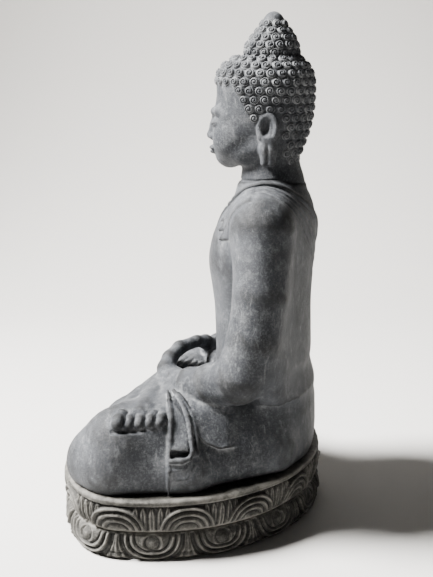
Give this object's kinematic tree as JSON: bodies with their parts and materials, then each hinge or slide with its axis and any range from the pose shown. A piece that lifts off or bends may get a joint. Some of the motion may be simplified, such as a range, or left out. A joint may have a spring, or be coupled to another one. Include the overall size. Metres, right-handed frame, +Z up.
{
  "type": "buddha statue",
  "caption": "Seated meditating Buddha in dark carved stone, with a doweled head, lifted onto a double-lotus plinth over locating pins.",
  "frame": {"origin": "centre of the plinth's footprint box, on its underside", "axes": "+Z up, the statue faces -Y, its left hand is at +X"},
  "size_m": [0.704, 0.514, 1],
  "materials": {
    "figure_stone": "rubbed dark basalt, slightly waxed",
    "plinth_stone": "chiselled dark basalt",
    "mortar": "grey lime mortar",
    "stainless": "brushed stainless bar",
    "resin": "grey anchoring resin",
    "pad": "black setting pad"
  },
  "bodies": {
    "plinth": {"lotus_plinth_lower": "plinth_stone", "lotus_plinth_upper": "plinth_stone", "course_mortar_bed": "mortar", "course_dowels": "stainless", "course_dowel_resin": "resin", "locating_pins": "stainless", "locating_pin_resin": "resin", "anchor_sockets": "stainless", "setting_pads": "pad"},
    "figure": {"figure_body": "figure_stone", "pin_sleeves": "stainless", "head": "figure_stone", "neck_joint_bed": "resin", "neck_dowel": "stainless", "neck_dowel_resin": "resin"}
  },
  "joints": [
    {"name": "figure_lift", "type": "slide", "parent": "plinth", "child": "figure", "axis": [0, 0, 1], "range_m": [0, 0.12]}
  ]
}
